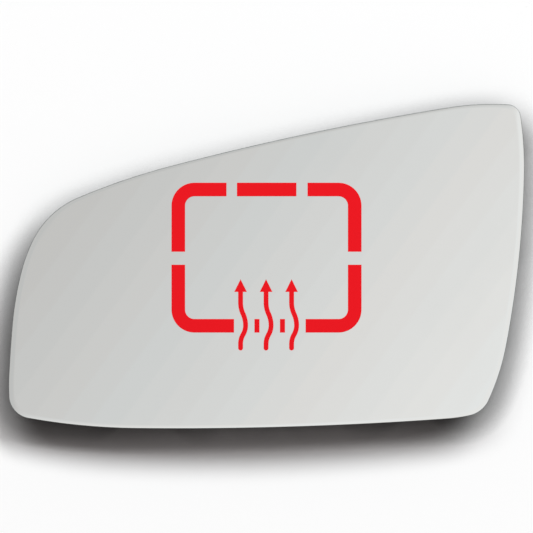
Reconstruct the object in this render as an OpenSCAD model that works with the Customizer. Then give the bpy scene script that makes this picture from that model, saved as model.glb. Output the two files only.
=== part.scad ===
// Heated door mirror glass unit: a convex glass with a printed heating sign on its face,
// a foil heater behind it, and a moulded carrier that clips onto the mirror actuator.
// X runs along the glass, Y up the glass, and Z out of its face. The unit lies face up on
// the end of its clip ring, at z = 0, and the middle of the glass outline is at x = y = 0.

/* [Glass] */
// Overall width of the glass
glass_w = 180; // [168:0.5:192]
// Overall height of the glass
glass_h = 113.2; // [106:0.1:120]
// Thickness of the glass
glass_t = 2; // [1.5:0.1:3]
// Radius of the convex face
curve_r = 1400; // [1000:10:2200]

/* [Right side of the outline] */
// Distance from the top down to where the glass is widest on the right
right_drop = 21.8; // [18:0.1:26]
// Radius of the outline there
right_r = 125; // [100:1:150]
// Radius of the nearly straight stretch under it
right_straight_r = 362; // [300:1:420]
// Direction in which the outline faces where that stretch begins
right_straight_deg = -1.3; // [-3:0.1:-0.5]
// Radius of the stretch that turns in towards the bottom
right_low_r = 83; // [60:1:100]
// Direction in which the outline faces where that stretch begins
right_low_deg = -10.8; // [-13:0.1:-8]

/* [Top of the outline] */
// Distance from the right edge to where the glass is highest
top_set = 10.8; // [9:0.1:14]
// Radius of the outline there
top_r = 98; // [80:1:120]
// Radius of the nearly straight slope to the left
top_slope_r = 1035; // [700:5:1400]
// Direction in which the outline faces where that slope begins
top_slope_deg = 99.2; // [97.5:0.1:100.5]
// Radius of the stretch that follows the slope
top_low_r = 238; // [180:1:300]
// Direction in which the outline faces where that stretch begins
top_low_deg = 104.7; // [102.5:0.1:107]

/* [Left side of the outline] */
// Distance from the bottom up to where the glass is widest on the left
left_rise = 14.6; // [12:0.1:18]
// Radius of the outline there
left_r = 77.5; // [60:0.5:95]
// Radius of the nearly straight stretch above it
left_straight_r = 484; // [350:2:600]
// Direction in which the outline faces where that stretch ends, at its lower end
left_straight_deg = 177.1; // [176.4:0.1:178]
// Radius of the stretch that begins to turn in
left_mid_r = 114; // [95:1:140]
// Direction in which the outline faces where that stretch ends
left_mid_deg = 175; // [173.5:0.1:176]
// Radius of the stretch that leads into the shoulder
left_high_r = 56; // [45:1:70]
// Direction in which the outline faces where that stretch ends
left_high_deg = 165.4; // [162:0.1:169]

/* [Bottom of the outline] */
// Distance from the left edge to where the glass is lowest
bottom_set = 56.8; // [50:0.2:64]
// Radius of the outline there
bottom_r = 1378; // [1000:10:2000]
// Radius of the stretch that leads to it from the lower left corner
bottom_lead_r = 231; // [180:1:300]
// Direction in which the outline faces where that stretch ends
bottom_lead_deg = 269.5; // [268.8:0.1:269.8]

/* [Corners of the outline] */
// Radius of the upper right corner
upper_right_r = 4.7; // [3:0.1:8]
// Radius of the upper left shoulder
shoulder_r = 31; // [24:0.5:38]
// Radius of the lower left corner
lower_left_r = 8.1; // [5:0.1:12]
// Radius of the lower right corner
lower_right_r = 10.7; // [6:0.1:15]

/* [Heating sign on the glass] */
// Thickness of the printed film
sign_t = 0.1; // [0.05:0.01:0.3]
// Place of the middle of the frame, to the right of the middle of the glass
sign_x = 0.2; // [-15:0.1:15]
// Place of the middle of the frame, above the middle of the glass
sign_y = 2.8; // [-5:0.1:10]
// Overall width of the frame
frame_w = 66; // [60:0.2:75]
// Overall height of the frame
frame_h = 52.1; // [46:0.1:58]
// Width of the bars of the frame
bar_w = 4.65; // [3:0.05:6]
// Outer radius of the corners of the frame
frame_corner_r = 7.5; // [6.5:0.1:10]
// Length of the loose bar in the middle of the top
top_bar_l = 20.6; // [14:0.1:26]
// Gap on each side of that bar
top_gap = 3.8; // [2:0.1:6]
// Gap in the middle of each upright
side_gap = 4.65; // [2:0.05:8]
// Place of the middle of that gap, from the middle of the frame
side_gap_y = -0.2; // [-5:0.1:5]
// Place where the left part of the bottom bar ends, from the middle of the frame
bottom_left_x = -11.4; // [-14:0.1:-10.2]
// Place where the right part of the bottom bar starts
bottom_right_x = 13.7; // [12.6:0.1:17]
// Distance between the heat arrows
arrow_pitch = 8.9; // [8.4:0.1:9.4]
// Place of the middle arrow, from the middle of the frame
arrow_x = -0.2; // [-0.8:0.1:0.8]
// Place of the arrow tips, from the middle of the frame
arrow_y = -7.5; // [-9:0.1:-4]
// Width of an arrow head
head_w = 4.3; // [3:0.1:5]
// Length of an arrow head
head_l = 4.4; // [3:0.1:5.5]
// Width of an arrow shaft
shaft_w = 1.68; // [1:0.02:2]
// Length of the straight shaft under the head
shaft_upper_l = 4.7; // [3:0.1:7]
// Height over which the shaft swings out
swing_out_l = 6.5; // [5:0.1:8]
// Height over which the shaft swings back
swing_back_l = 5.8; // [5:0.1:8]
// How far the shaft swings out to the right
swing = 1.77; // [0.8:0.01:2]
// Length of the straight shaft at the lower end, up to the middle of its round end
shaft_lower_l = 2.4; // [1:0.1:4]
// Width of the dashes between the arrows
dash_w = 1.75; // [0.8:0.05:2]
// Distance from an arrow to the dash on its right
dash_set = 5.78; // [5.6:0.02:6]

/* [Heater] */
// Thickness of the etched heater foil
foil_t = 0.1; // [0.05:0.01:0.3]
// Distance from the glass edge to the heater foil
foil_inset = 8; // [7:0.1:12]
// Width of the slits that part the runs of the foil
slit_w = 1.2; // [0.6:0.1:2]
// Distance from one slit to the next
slit_pitch = 14; // [11:0.1:18]
// Width of foil left round the end of each slit
turn_w = 9; // [6:0.1:11]
// Thickness of the plastic film that carries the foil
film_t = 0.25; // [0.1:0.01:0.5]
// Distance from the glass edge to the film
film_inset = 6; // [4:0.1:7]
// Thickness of the foam tape that bonds the film and glass to the carrier
tape_t = 0.8; // [0.4:0.05:1.5]
// Distance from the glass edge to the tape
tape_inset = 4; // [3:0.1:6]

/* [Heater terminals] */
// Distance from the right edge of the glass to the blades
terminal_set = 28; // [25:0.1:32]
// Place of the middle between the two terminals, above the middle of the glass
terminal_y = 4; // [0:0.1:8]
// Distance between the two blades
terminal_pitch = 14; // [12:0.1:18]
// Width of a blade
tab_w = 6.3; // [4.8:0.1:7.7]
// Thickness of a blade
tab_t = 0.8; // [0.5:0.1:1]
// Length of a blade, with its bend
tab_l = 8.5; // [7:0.1:9.5]
// Length of the foot that lies on the film
tab_foot_l = 8; // [7:0.1:9]
// Inner radius of the bend between blade and foot
tab_bend_r = 0.6; // [0.2:0.1:1]
// Diameter of the latching hole in a blade
tab_hole_d = 1.6; // [1:0.1:2]
// Distance from the end of a blade to its latching hole
tab_hole_set = 3; // [2:0.1:4]
// Slope cut off the two corners at the end of a blade
tab_tip = 0.9; // [0.3:0.1:1.2]
// Diameter of a rivet shank
rivet_d = 2.4; // [1.6:0.1:3]
// Diameter of a rivet head
rivet_head_d = 4.2; // [3.4:0.1:5]
// Thickness of a rivet head
rivet_head_t = 0.6; // [0.3:0.1:1]

/* [Carrier] */
// Thickness of the carrier plate
plate_t = 2; // [1.4:0.1:3]
// Distance from the glass edge to the carrier edge
carrier_inset = 1.4; // [0.6:0.1:2.5]
// Thickness of the rim round the carrier
rim_t = 1.8; // [1.2:0.1:3]
// Height of the rim and the ribs behind the plate
rib_h = 2.8; // [1.5:0.1:4]
// Thickness of the ribs
rib_t = 1.2; // [0.8:0.1:2]
// Number of ribs between the clip ring and the rim
spoke_count = 16; // [8:1:24]
// Number of hoops that cross those ribs
hoop_count = 2; // [1:1:3]
// Diameter of the smallest hoop, at its middle
hoop_d = 74; // [68:1:84]
// Difference in diameter from one hoop to the next
hoop_step = 35; // [28:1:42]
// Space in front of the blades in the terminal window
window_front = 7; // [6:0.1:8]
// Space beside and behind the terminals in the window
window_gap = 1.8; // [1:0.1:3]
// Radius of the corners of the window
window_r = 1.5; // [0.5:0.1:3]

/* [Clip ring] */
// Place of the clip ring to the right of the middle of the glass
ring_x = 5; // [0:0.5:8]
// Place of the clip ring above the middle of the glass
ring_y = -5; // [-8:0.5:-1]
// Height of the clip ring, from its end to the crown of the plate
ring_h = 10.8; // [9.5:0.1:14]
// Inside diameter of the clip ring
ring_d = 50; // [44:0.5:56]
// Wall of the clip ring
ring_wall = 1.8; // [1.4:0.1:2.5]
// Diameter between the snap lips, which grips the actuator
snap_d = 48.4; // [42.6:0.1:54.8]
// Number of snap fingers
finger_count = 6; // [3:1:8]
// Width of a snap finger, as an angle round the ring
finger_deg = 32; // [20:1:40]
// Width of the slot on each side of a finger
slot_w = 1.5; // [1:0.1:2.5]
// Depth of those slots from the end of the ring
slot_h = 7; // [5.5:0.1:8.5]
// Height of the lead-in slope at the end of a snap lip
lip_lead_h = 1.2; // [0.5:0.1:2]
// Height of the flat land of a snap lip
lip_land_h = 2; // [1:0.1:2.5]
// Width of the key notch, which sets the unit the right way round on the actuator
key_w = 5; // [3:0.1:6]
// Depth of the key notch from the end of the ring
key_h = 4; // [2:0.1:7]

/* [Hidden] */
$fn = 96;
// Facets round the big balls that give the layers their curve
ball_fn = 360;
// Smallest corner radius that an inset outline keeps
least_corner_r = 2.5;
// Largest distance between an arc of the outline and the straight steps that follow it
outline_tol = 0.02;
// Steps in each of the arcs that a swing is made of
swing_steps = 5;
// Reach of cuts past the edge of what they cut
past = 1;
// Size that is larger than the unit
far = 300;

// Radii of the surfaces between the layers, which all share one centre
back_r = curve_r - glass_t;
foil_r = back_r - foil_t;
film_r = foil_r - film_t;
tape_r = film_r - tape_t;
plate_r = tape_r - plate_t;
rib_r = plate_r - rib_h;
// Place of the blades to the right of the middle of the glass
terminal_x = glass_w / 2 - terminal_set;
// Hollow of the film over the far corners of a foot
foot_hollow = (tab_foot_l ^ 2 + (tab_w / 2) ^ 2) / (2 * film_r);
// Height of the crown of the glass, and of the centre of the balls
crown_z = ring_h + curve_r - plate_r;
ball_z = crown_z - curve_r;

// A circle is kept as [x, y, radius], and the outline as the circles that it follows,
// counterclockwise. Each circle touches the next from inside, or is touched by it.

// Circle of radius r that touches circle c where c faces in direction deg
function next_circle(c, deg, r) =
    [c.x + (c.z - r) * cos(deg), c.y + (c.z - r) * sin(deg), r];

// Circle of radius r that touches circles a and b from inside and rounds their corner
function corner_circle(a, b, r) =
    let (to_b = [b.x - a.x, b.y - a.y])
    let (d = norm(to_b))
    let (along = (d ^ 2 + (a.z - r) ^ 2 - (b.z - r) ^ 2) / (2 * d))
    let (aside = sqrt((a.z - r) ^ 2 - along ^ 2))
    [a.x + (to_b.x * along - to_b.y * aside) / d,
     a.y + (to_b.y * along + to_b.x * aside) / d, r];

// Direction in which two circles that touch from inside face at their shared point
function joint_deg(a, b) =
    let (s = a.z > b.z ? 1 : -1)
    atan2(s * (b.y - a.y), s * (b.x - a.x));

// Point on circle c in direction deg, drawn in by inset
function rim_point(c, deg, inset) =
    [c.x + (c.z - inset) * cos(deg), c.y + (c.z - inset) * sin(deg)];

// Circles of the four sides, each set against an edge of the overall size
right_side = [glass_w / 2 - right_r, glass_h / 2 - right_drop, right_r];
right_straight = next_circle(right_side, right_straight_deg, right_straight_r);
right_low = next_circle(right_straight, right_low_deg, right_low_r);
top_side = [glass_w / 2 - top_set, glass_h / 2 - top_r, top_r];
top_slope = next_circle(top_side, top_slope_deg, top_slope_r);
top_low = next_circle(top_slope, top_low_deg, top_low_r);
left_side = [left_r - glass_w / 2, left_rise - glass_h / 2, left_r];
left_straight = next_circle(left_side, left_straight_deg, left_straight_r);
left_mid = next_circle(left_straight, left_mid_deg, left_mid_r);
left_high = next_circle(left_mid, left_high_deg, left_high_r);
bottom_side = [bottom_set - glass_w / 2, bottom_r - glass_h / 2, bottom_r];
bottom_lead = next_circle(bottom_side, bottom_lead_deg, bottom_lead_r);

// The outline, counterclockwise: its stretches as circles, and its corners as bare radii
OUTLINE = [right_low, right_straight, right_side, upper_right_r,
           top_side, top_slope, top_low, shoulder_r,
           left_high, left_mid, left_straight, left_side, lower_left_r,
           bottom_lead, bottom_side, lower_right_r];

// Item i of a closed list, which may be one off either end
function around(list, i) = list[(i + len(list)) % len(list)];

// The outline with its corners as circles, none tighter than the least radius
function with_corners(list, least) =
    [for (i = [0:len(list) - 1]) is_num(list[i])
        ? corner_circle(around(list, i - 1), around(list, i + 1), max(list[i], least)) : list[i]];

// Direction in which circle i of the outline begins, and the angle through which it turns
function from_deg(circles, i) = joint_deg(around(circles, i - 1), circles[i]);
function turn_deg(circles, i) =
    (joint_deg(circles[i], around(circles, i + 1)) - from_deg(circles, i) + 540) % 360 - 180;

// All circles of the outline; a stretch that the corner next to it overruns is left out
function outline_circles(list, least) =
    let (circles = with_corners(list, least))
    let (overrun = [for (i = [0:len(list) - 1]) if (turn_deg(circles, i) <= 0) i])
    len(overrun) == 0 ? circles
        : outline_circles([for (i = [0:len(list) - 1]) if (i != overrun[0]) list[i]], least);

// Flat outline of the glass, drawn in by inset; its arcs are true to outline_tol
module outline(inset = 0) {
    circles = outline_circles(OUTLINE, inset + least_corner_r);
    polygon([for (i = [0:len(circles) - 1])
        let (from = from_deg(circles, i), turn = turn_deg(circles, i))
        let (steps = ceil(turn * PI / 180 * sqrt(circles[i].z / (8 * outline_tol))))
        for (step = [0:steps - 1]) rim_point(circles[i], from + turn * step / steps, inset)]);
}

// Ball round the shared centre, turned so that its poles lie off the glass
module ball(r) {
    translate([0, 0, ball_z]) rotate([90, 0, 0]) sphere(r = r, $fn = ball_fn);
}

// Upright body with a flat shape as its outline, from z = 0 up to the ball of radius r
module under(r) {
    intersection() {
        ball(r);
        linear_extrude(crown_z + past) children();
    }
}

// Curved sheet between two radii, with a flat shape as its outline
module layer(outer_r, inner_r) {
    difference() {
        under(outer_r) children();
        ball(inner_r);
    }
}

// Stands things on the inside of the film, square to it, at a point of the glass
module on_film(x, y) {
    translate([0, 0, ball_z])
        rotate([-asin(y / film_r), asin(x / film_r), 0])
            translate([0, 0, film_r]) children();
}

// Rectangle round the origin with its corners rounded
module rounded_box(w, h, r) {
    for (x = [r - w / 2, w / 2 - r], y = [r - h / 2, h / 2 - r]) translate([x, y]) circle(r = r);
    square([w - 2 * r, h], center = true);
    square([w, h - 2 * r], center = true);
}

// Glass

module glass() {
    color([0.80, 0.81, 0.81]) layer(curve_r, back_r) outline();
}

// Heating sign

// Frame with a gap on each side of its top bar, in its uprights and along its bottom
module frame_shape() {
    top_gap_x = (top_bar_l + top_gap) / 2;
    difference() {
        rounded_box(frame_w, frame_h, frame_corner_r);
        rounded_box(frame_w - 2 * bar_w, frame_h - 2 * bar_w, frame_corner_r - bar_w);
        for (side = [-1, 1]) translate([side * top_gap_x, frame_h / 2])
            square([top_gap, 2 * bar_w + past], center = true);
        translate([0, side_gap_y]) square([frame_w + past, side_gap], center = true);
        translate([bottom_left_x, -frame_h / 2 - past])
            square([bottom_right_x - bottom_left_x, bar_w + 2 * past]);
    }
}

// Half a swing of the shaft: [x, y, heading] along its middle from straight down to swung out,
// as two arcs that turn one way and back. The heading is measured from straight down.
function half_swing(length) =
    let (turn = 2 * atan(swing / length))
    let (r = length / (2 * sin(turn)))
    [for (i = [0:2 * swing_steps])
        let (a = turn * (i <= swing_steps ? i : 2 * swing_steps - i) / swing_steps)
        i <= swing_steps ? [r * (1 - cos(a)), -r * sin(a), a]
                         : [swing - r * (1 - cos(a)), r * sin(a) - length, a]];

// Middle line of the shaft from the head down: out to the right, and back again
function shaft_line() =
    let (out = half_swing(swing_out_l), back = half_swing(swing_back_l))
    let (out_y = -head_l - shaft_upper_l, end_y = out_y - swing_out_l - swing_back_l)
    concat([[0, -head_l, 0]],
           [for (p = out) [p.x, out_y + p.y, p.z]],
           [for (i = [1:len(back) - 1])
               let (p = back[len(back) - 1 - i])
               [p.x, end_y - p.y, -p.z]],
           [[0, end_y - shaft_lower_l, 0]]);

// Heat arrow that points up, with its tip at the origin: down one side of the shaft,
// round its end, up the other side, and over the head
module arrow_shape() {
    line = shaft_line();
    last = len(line) - 1;
    half = shaft_w / 2;
    polygon(concat(
        [for (i = [0:last]) [line[i].x - half * cos(line[i].z), line[i].y - half * sin(line[i].z)]],
        [for (a = [15:15:165]) [line[last].x - half * cos(a), line[last].y - half * sin(a)]],
        [for (i = [last:-1:0]) [line[i].x + half * cos(line[i].z), line[i].y + half * sin(line[i].z)]],
        [[head_w / 2, -head_l], [0, 0], [-head_w / 2, -head_l]]));
}

// Printed film on the face of the glass, in the place of the sign
module printed() {
    color([0.93, 0.11, 0.14]) layer(curve_r + sign_t, curve_r) translate([sign_x, sign_y]) children();
}

module sign_frame() {
    printed() frame_shape();
}

module sign_arrows() {
    printed() for (i = [-1:1]) translate([arrow_x + i * arrow_pitch, arrow_y]) arrow_shape();
}

module sign_dashes() {
    printed() for (i = [-1:0])
        translate([arrow_x + i * arrow_pitch + dash_set - dash_w / 2, -frame_h / 2])
            square([dash_w, bar_w]);
}

// Heater

// Slits that part the foil into one long run, from the upper terminal to the lower one:
// a level slit between the terminals, and upright ones that start at it and at the edge in turn
module foil_slits() {
    first_x = terminal_x - window_front - past;
    room = first_x + glass_w / 2 - foil_inset - slit_pitch;
    count = 2 * floor(room / slit_pitch / 2) + 1;
    intersection() {
        union() {
            outline(foil_inset + turn_w);
            translate([0, -far / 2]) square(far);
        }
        translate([-far, terminal_y - slit_w / 2]) square([2 * far, slit_w]);
    }
    for (i = [0:count - 1]) translate([first_x - i * slit_pitch - slit_w / 2, 0])
        if (i % 2 == 0) {
            intersection() {
                translate([0, -far / 2]) square([slit_w, far]);
                translate([slit_w / 2 + i * slit_pitch - first_x, 0]) outline(foil_inset + turn_w);
            }
        } else {
            translate([0, terminal_y + turn_w]) square([slit_w, far]);
            translate([0, terminal_y - turn_w - far]) square([slit_w, far]);
        }
}

module heater_foil() {
    color([0.78, 0.62, 0.40]) layer(back_r, foil_r) difference() {
        outline(foil_inset);
        foil_slits();
    }
}

// Puts a part of a terminal in place at the upper (side = 1) or lower (side = -1) blade.
// The flat foot meets the hollow face of the film at its corners, so it stands off by that hollow.
module at_terminal(side) {
    on_film(terminal_x, terminal_y + side * terminal_pitch / 2)
        translate([0, 0, -foot_hollow]) children();
}

// Rivet shank through foot and film, up to the foil, in the middle of the free part of the foot
module rivet_shank() {
    translate([(tab_t + tab_foot_l) / 2, 0, -tab_t]) cylinder(d = rivet_d, h = tab_t + film_t);
}

module heater_film() {
    color([0.55, 0.42, 0.20]) difference() {
        layer(foil_r, film_r) outline(film_inset);
        for (side = [-1, 1]) at_terminal(side) translate([0, 0, past / 2]) rivet_shank();
    }
}

// Outline of the window for the terminals, grown by a margin
module window_shape(margin = 0) {
    front = terminal_x - window_front;
    rear = terminal_x + tab_foot_l + window_gap;
    height = terminal_pitch + tab_w + 2 * window_gap;
    translate([(front + rear) / 2, terminal_y])
        rounded_box(rear - front + 2 * margin, height + 2 * margin, window_r + margin);
}

module bonding_tape() {
    color([0.20, 0.20, 0.21]) layer(film_r, tape_r) difference() {
        outline(tape_inset);
        window_shape(rib_t / 2);
    }
}

// Quarter of the plane behind and to the right of the origin, with its corner rounded
module rounded_quarter(w, h, r) {
    translate([r, -h]) square([w - r, h]);
    translate([0, -h]) square([r, h - r]);
    translate([r, -r]) circle(r = r);
}

// Blade with its foot, bent from one strip, as it stands on the film
module terminal(side) {
    tip = tab_tip * sqrt(2);
    color([0.80, 0.74, 0.58]) at_terminal(side) difference() {
        rotate([90, 0, 0]) linear_extrude(tab_w, center = true) difference() {
            rounded_quarter(tab_foot_l, tab_l, tab_bend_r + tab_t);
            translate([tab_t, -tab_t]) rounded_quarter(tab_foot_l, tab_l, tab_bend_r);
        }
        for (end = [-1, 1]) translate([-past, end * tab_w / 2, -tab_l])
            rotate([45, 0, 0]) translate([0, -tip / 2, -tip / 2]) cube([tab_t + 2 * past, tip, tip]);
        translate([-past, 0, tab_hole_set - tab_l]) rotate([0, 90, 0])
            cylinder(d = tab_hole_d, h = tab_t + 2 * past);
        rivet_shank();
    }
}

module upper_terminal() {
    terminal(1);
}

module lower_terminal() {
    terminal(-1);
}

// Rivet that joins foot, film and foil
module rivet(side) {
    color([0.72, 0.72, 0.72]) at_terminal(side) {
        rivet_shank();
        translate([(tab_t + tab_foot_l) / 2, 0, -tab_t - rivet_head_t])
            cylinder(d = rivet_head_d, h = rivet_head_t);
    }
}

module upper_rivet() {
    rivet(1);
}

module lower_rivet() {
    rivet(-1);
}

// Carrier

// Flat band of width w round a circle of diameter d, measured at the middle of the band
module band(d, w) {
    difference() {
        circle(d = d + w);
        circle(d = d - w);
    }
}

// Ribs behind the plate: spokes from the clip ring to the rim, hoops that cross them, and a
// collar round the window
module rib_shape() {
    intersection() {
        outline(carrier_inset + rim_t / 2);
        difference() {
            union() {
                translate([ring_x, ring_y]) {
                    for (i = [0:hoop_count - 1]) band(hoop_d + i * hoop_step, rib_t);
                    for (i = [0:spoke_count - 1]) rotate((i + 0.5) * 360 / spoke_count)
                        translate([(ring_d + ring_wall) / 2, -rib_t / 2]) square([far, rib_t]);
                }
                window_shape(rib_t);
            }
            window_shape();
        }
    }
    difference() {
        outline(carrier_inset);
        outline(carrier_inset + rim_t);
    }
}

// Snap lip: lead-in slope, flat land and slope back to the wall, as half a section
module lip_section() {
    lip = (ring_d - snap_d) / 2;
    top = lip_lead_h + lip_land_h;
    inside = ring_d / 2 + ring_wall / 2;
    polygon([[inside, 0], [ring_d / 2, 0], [snap_d / 2, lip_lead_h], [snap_d / 2, top],
             [ring_d / 2, top + lip], [inside, top + lip]]);
}

// Puts things at each snap finger, turned so that the finger is on +X
module at_fingers() {
    for (i = [0:finger_count - 1]) translate([ring_x, ring_y]) rotate((i - 0.5) * 360 / finger_count)
        children();
}

// Clip ring with its snap fingers, and a key notch midway between two of them
module clip_ring() {
    slot_l = ring_wall + (ring_d - snap_d) / 2 + 2 * past;
    key_deg = floor(finger_count / 2) * 360 / finger_count;
    difference() {
        union() {
            under(tape_r - plate_t / 2) translate([ring_x, ring_y]) band(ring_d + ring_wall, ring_wall);
            at_fingers() rotate_extrude(angle = finger_deg, start = -finger_deg / 2) lip_section();
        }
        at_fingers() for (side = [-1, 1]) rotate(side * finger_deg / 2)
            translate([snap_d / 2 - past, -slot_w / 2, -past]) cube([slot_l, slot_w, slot_h + past]);
        translate([ring_x, ring_y]) rotate(key_deg)
            translate([snap_d / 2 - past, -key_w / 2, -past]) cube([slot_l, key_w, key_h + past]);
    }
}

module carrier_plate() {
    color([0.11, 0.11, 0.12]) {
        difference() {
            union() {
                layer(tape_r, plate_r) outline(carrier_inset);
                layer(tape_r - plate_t / 2, rib_r) rib_shape();
            }
            linear_extrude(crown_z) window_shape();
        }
        clip_ring();
    }
}

glass();
sign_frame();
sign_arrows();
sign_dashes();
heater_foil();
heater_film();
bonding_tape();
upper_terminal();
lower_terminal();
upper_rivet();
lower_rivet();
carrier_plate();
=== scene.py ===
# %% [markdown]
# A heated door mirror glass
#
# This script dresses one object: the glass unit of a car's door mirror. Seen from above it is
# a chromed, slightly domed glass with a red heating sign. Under the glass sit a heater, foam
# tape and a black moulded carrier with a clip ring. The construction comes ready from the CAD
# model, and here it gets its finishes. The glass and the sign are modelled anew, because a
# mirror shows every flat facet, and because a real glass has a ground edge.
#
# All lengths in Blender are metres. The pieces are small, so the script keeps their sizes in
# millimetres and multiplies by MM where they meet Blender. The floor, the camera, the lamps
# and the depths in materials are in metres.

# %% Load the CAD model as a fixed frame
import math

import bmesh
import bpy
import numpy as np
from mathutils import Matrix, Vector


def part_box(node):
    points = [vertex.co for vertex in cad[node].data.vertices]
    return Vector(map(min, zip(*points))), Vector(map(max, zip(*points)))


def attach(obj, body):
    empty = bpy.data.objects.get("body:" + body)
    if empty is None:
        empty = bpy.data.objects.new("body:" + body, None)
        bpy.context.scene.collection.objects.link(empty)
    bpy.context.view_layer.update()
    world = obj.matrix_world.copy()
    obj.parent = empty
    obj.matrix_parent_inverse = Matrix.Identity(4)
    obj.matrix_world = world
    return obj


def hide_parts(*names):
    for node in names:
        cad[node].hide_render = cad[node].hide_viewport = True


MM = 0.001
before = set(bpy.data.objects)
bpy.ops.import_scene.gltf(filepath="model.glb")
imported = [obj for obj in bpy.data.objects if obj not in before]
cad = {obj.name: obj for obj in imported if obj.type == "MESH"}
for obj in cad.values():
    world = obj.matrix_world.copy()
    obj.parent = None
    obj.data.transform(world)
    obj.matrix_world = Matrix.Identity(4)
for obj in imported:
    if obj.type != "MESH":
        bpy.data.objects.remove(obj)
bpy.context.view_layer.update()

# %% [markdown]
# The outline of the glass
#
# The outline is a chain of circular arcs that run into each other without a kink, like most
# pressed and cut car parts. It could be traced by hand as a curve, but a chain of circles is
# shorter, keeps true arcs, and can be drawn in by any distance: the centres stay and the
# radii shrink. A circle is kept as an array of x, y and radius, in millimetres. The chain
# starts from the four points where the glass touches its box.

# %% Circles of the outline
glass_low, glass_high = (np.array(corner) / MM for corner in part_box("glass"))
half_w = (glass_high[0] - glass_low[0]) / 2
half_h = (glass_high[1] - glass_low[1]) / 2


def unit(deg):
    """Unit vectors in the given directions: cosine and sine of each angle."""
    angle = np.radians(deg)
    return np.stack([np.cos(angle), np.sin(angle)], axis=-1)


def next_circle(circle, deg, radius):
    """Circle that touches another where that one faces in direction deg.
    Its centre lies back from the shared point by its own radius. A circle of no radius is
    a point, so this also gives the circle that faces in direction deg at a point."""
    centre = circle[:2] + (circle[2] - radius) * unit(deg)
    return np.array([*centre, radius])


def corner_circle(before, after, radius):
    """Circle that touches two others from inside. Its centre is where two circles about
    their centres meet, each smaller than the original by the new radius."""
    reach_1, reach_2 = before[2] - radius, after[2] - radius
    way = after[:2] - before[:2]
    gap = np.hypot(*way)
    along = (gap ** 2 + reach_1 ** 2 - reach_2 ** 2) / (2 * gap)
    aside = math.sqrt(reach_1 ** 2 - along ** 2)
    left = np.array([-way[1], way[0]])
    return np.array([*(before[:2] + (way * along + left * aside) / gap), radius])


def facing(a, b):
    """Direction, in degrees, in which two touching circles face at their shared point:
    from the centre of the larger to the centre of the smaller."""
    way = (b[:2] - a[:2]) * (1 if a[2] > b[2] else -1)
    return math.degrees(math.atan2(way[1], way[0]))


RIGHT_TOUCH = np.array([half_w, half_h - 21.8, 0])
TOP_TOUCH = np.array([half_w - 10.8, half_h, 0])
LEFT_TOUCH = np.array([-half_w, 14.6 - half_h, 0])
BOTTOM_TOUCH = np.array([56.8 - half_w, -half_h, 0])

right_side = next_circle(RIGHT_TOUCH, 0, 125)
right_straight = next_circle(right_side, -1.3, 362)
right_low = next_circle(right_straight, -10.8, 83)
top_side = next_circle(TOP_TOUCH, 90, 98)
top_slope = next_circle(top_side, 99.2, 1035)
top_low = next_circle(top_slope, 104.7, 238)
left_side = next_circle(LEFT_TOUCH, 180, 77.5)
left_straight = next_circle(left_side, 177.1, 484)
left_mid = next_circle(left_straight, 175, 114)
left_high = next_circle(left_mid, 165.4, 56)
bottom_side = next_circle(BOTTOM_TOUCH, 270, 1378)
bottom_lead = next_circle(bottom_side, 269.5, 231)
bottom_rise = next_circle(bottom_side, 274, 58)

OUTLINE = np.array([
    right_low, right_straight, right_side, corner_circle(right_side, top_side, 4.7),
    top_side, top_slope, top_low, corner_circle(top_low, left_high, 31),
    left_high, left_mid, left_straight, left_side, corner_circle(left_side, bottom_lead, 8.1),
    bottom_lead, bottom_side, bottom_rise, corner_circle(bottom_rise, right_low, 9.5)])
JOINTS = np.array([facing(a, b) for a, b in zip(OUTLINE, np.roll(OUTLINE, -1, axis=0))])
STARTS = np.roll(JOINTS, 1)
TURNS = (JOINTS - STARTS + 180) % 360 - 180
print("outline:", len(OUTLINE), "arcs that turn through", round(TURNS.sum(), 3), "degrees")


# %% Points along the outline
RING_POINTS = 960
CORNER_SHARE = 12.0


def ring(inset):
    """Points along the outline, drawn in by inset, as an array of x and y.
    Each arc gets points in proportion to its length plus a share for how far it turns,
    and a point on an arc is its centre plus the drawn-in radius in the facing direction."""
    weight = np.radians(TURNS) * (OUTLINE[:, 2] + CORNER_SHARE)
    ends = np.cumsum(weight)
    place = np.linspace(0, ends[-1], RING_POINTS, endpoint=False)
    arc = np.searchsorted(ends, place, side="right")
    share = (place - (ends - weight)[arc]) / weight[arc]
    deg = STARTS[arc] + TURNS[arc] * share
    return OUTLINE[arc, :2] + (OUTLINE[arc, 2] - inset)[:, None] * unit(deg)


edge = ring(0)
print("outline box in mm:", edge.min(axis=0).round(2), edge.max(axis=0).round(2))

# %% [markdown]
# From arrays to a mesh
#
# Every new surface here is a grid: rows of points, worked out as whole numpy arrays. One
# helper turns a grid into a closed mesh. The faces come from index arithmetic, and bmesh
# merges rows that shrink to a point, so that poles are closed, and turns the normals outwards.

# %% Grid to mesh
SAME_POINT = 1e-8


def mesh_from_grid(name, grid, caps=False, row_slots=None):
    """Closed mesh from a grid of shape rows x columns x 3 in millimetres, whose columns run
    in a ring: each quad joins column j to column j + 1 of its own and the next row.
    caps closes the first and last row with a face; row_slots gives each row its material."""
    rows, columns = grid.shape[:2]
    index = np.arange(rows * columns).reshape(rows, columns)
    ahead = np.roll(index, -1, axis=1)
    quads = np.stack([index[:-1], ahead[:-1], ahead[1:], index[1:]], axis=-1).reshape(-1, 4)
    faces = quads.tolist()
    if caps:
        faces += [index[0][::-1].tolist(), index[-1].tolist()]
    mesh = bpy.data.meshes.new(name)
    mesh.from_pydata((grid.reshape(-1, 3) * MM).tolist(), [], faces)
    if row_slots is not None:
        mesh.polygons.foreach_set("material_index", np.repeat(row_slots, columns).astype(np.int32))
    clean_shell(mesh)
    return mesh


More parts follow.
